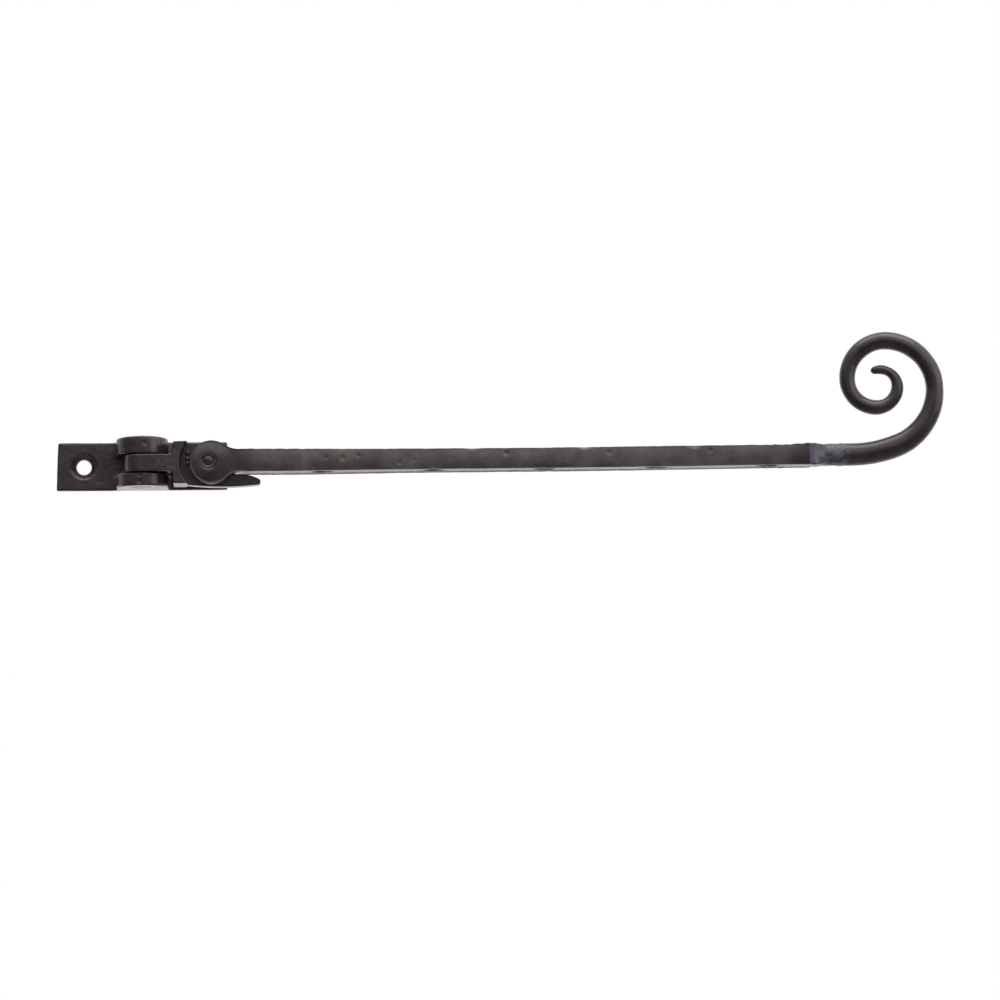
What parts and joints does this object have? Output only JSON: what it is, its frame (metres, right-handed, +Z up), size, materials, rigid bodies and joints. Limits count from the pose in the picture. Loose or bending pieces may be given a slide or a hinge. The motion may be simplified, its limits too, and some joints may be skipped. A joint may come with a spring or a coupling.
{
  "type": "casement window stay",
  "caption": "Flat window stay with evenly spaced peg holes and a curled scroll handle, joined to a screw-on fixing bracket by a two-way riveted knuckle.",
  "frame": {"origin": "centre of the fixing plate's back face", "axes": "+X along the bar from the bracket to the scroll, +Y out of the plate's back into the casement, +Z up along the vertical pivot, the way the scroll curls"},
  "size_m": [0.2816, 0.0213, 0.0476],
  "materials": {
    "black_cast": "satin black paint over cast iron skin",
    "black_rivet": "satin black paint over peened rivet ends",
    "black_hammered": "satin black paint over hammered iron",
    "black_rod": "smooth satin black paint"
  },
  "bodies": {
    "bracket": {"fixing_bracket": "black_cast", "vertical_pivot_pin": "black_rivet"},
    "knuckle": {"knuckle": "black_cast"},
    "bar": {"stay_bar": "black_hammered", "scroll_tail": "black_rod", "fork_pivot_pin": "black_rivet"}
  },
  "joints": [
    {"name": "swing", "type": "hinge", "parent": "bracket", "child": "knuckle", "pos_m": [0, -0.014, 0], "axis": [0, 0, -1], "range_deg": [-5, 185]},
    {"name": "lift", "type": "hinge", "parent": "knuckle", "child": "bar", "pos_m": [0.0212, -0.014, -0.0001], "axis": [0, -1, 0], "range_deg": [0, 100]}
  ]
}
